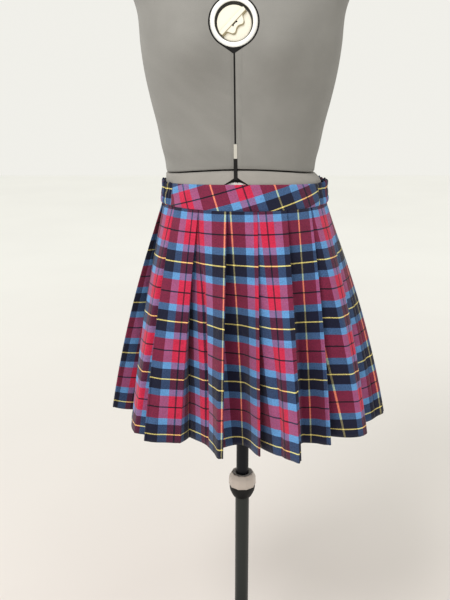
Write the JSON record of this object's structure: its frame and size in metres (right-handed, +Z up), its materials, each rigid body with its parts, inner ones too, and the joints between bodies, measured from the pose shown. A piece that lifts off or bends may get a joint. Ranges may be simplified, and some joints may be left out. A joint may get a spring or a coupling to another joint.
{
  "type": "pleated tartan skirt on a dress form",
  "caption": "Short knife-pleated tartan skirt with a flat bias front waistband and a gathered elastic back, worn on an adjustable dress form with a pole stand.",
  "frame": {"origin": "on the floor under the middle of the pole, at the middle of the base's flat underside", "axes": "+Z up along the pole, -Y towards the front of the skirt, +X to the skirt's left side as worn, which is the viewer's right"},
  "size_m": [0.4817, 0.41, 1.536],
  "materials": {
    "tartan_cloth": "twill suiting in a red, blue and navy tartan with fine yellow and black lines",
    "grey_jersey": "fine grey jersey over a moulded shell",
    "black_plastic": "matte black",
    "white_plastic": "smooth white",
    "cream_plastic": "smooth cream",
    "milky_plastic": "milky, slightly translucent",
    "dark_steel": "dark satin lacquer on steel"
  },
  "bodies": {
    "stand": {"base": "dark_steel", "base_boss": "black_plastic", "pole_lower": "dark_steel", "collar_cup": "black_plastic"},
    "nut": {"collar_nut": "milky_plastic"},
    "mast": {"pole_upper": "dark_steel"},
    "figure": {"form_socket": "black_plastic", "chest": "grey_jersey", "hip": "grey_jersey", "waist_plate": "black_plastic", "neck_cap": "black_plastic", "front_strip": "black_plastic", "front_clip": "cream_plastic", "front_bridge": "black_plastic", "chest_dial_ring": "white_plastic", "chest_dial_knob": "cream_plastic", "chest_dial_housing": "black_plastic", "hip_dial_ring": "white_plastic", "hip_dial_knob": "cream_plastic", "hip_dial_housing": "black_plastic", "skirt_front": "tartan_cloth", "skirt_back": "tartan_cloth", "waistband_front": "tartan_cloth", "waistband_back": "tartan_cloth"}
  },
  "joints": [
    {"name": "height_slide", "type": "slide", "parent": "stand", "child": "mast", "axis": [0, 0, 1], "range_m": [-0.15, 0.15]},
    {"name": "figure_swivel", "type": "hinge", "parent": "mast", "child": "figure", "pos_m": [0, 0, 0.85], "axis": [0, 0, 1], "continuous": true},
    {"name": "nut_turn", "type": "hinge", "parent": "stand", "child": "nut", "pos_m": [0, 0, 0.48], "axis": [0, 0, 1], "range_deg": [0, 180]}
  ]
}
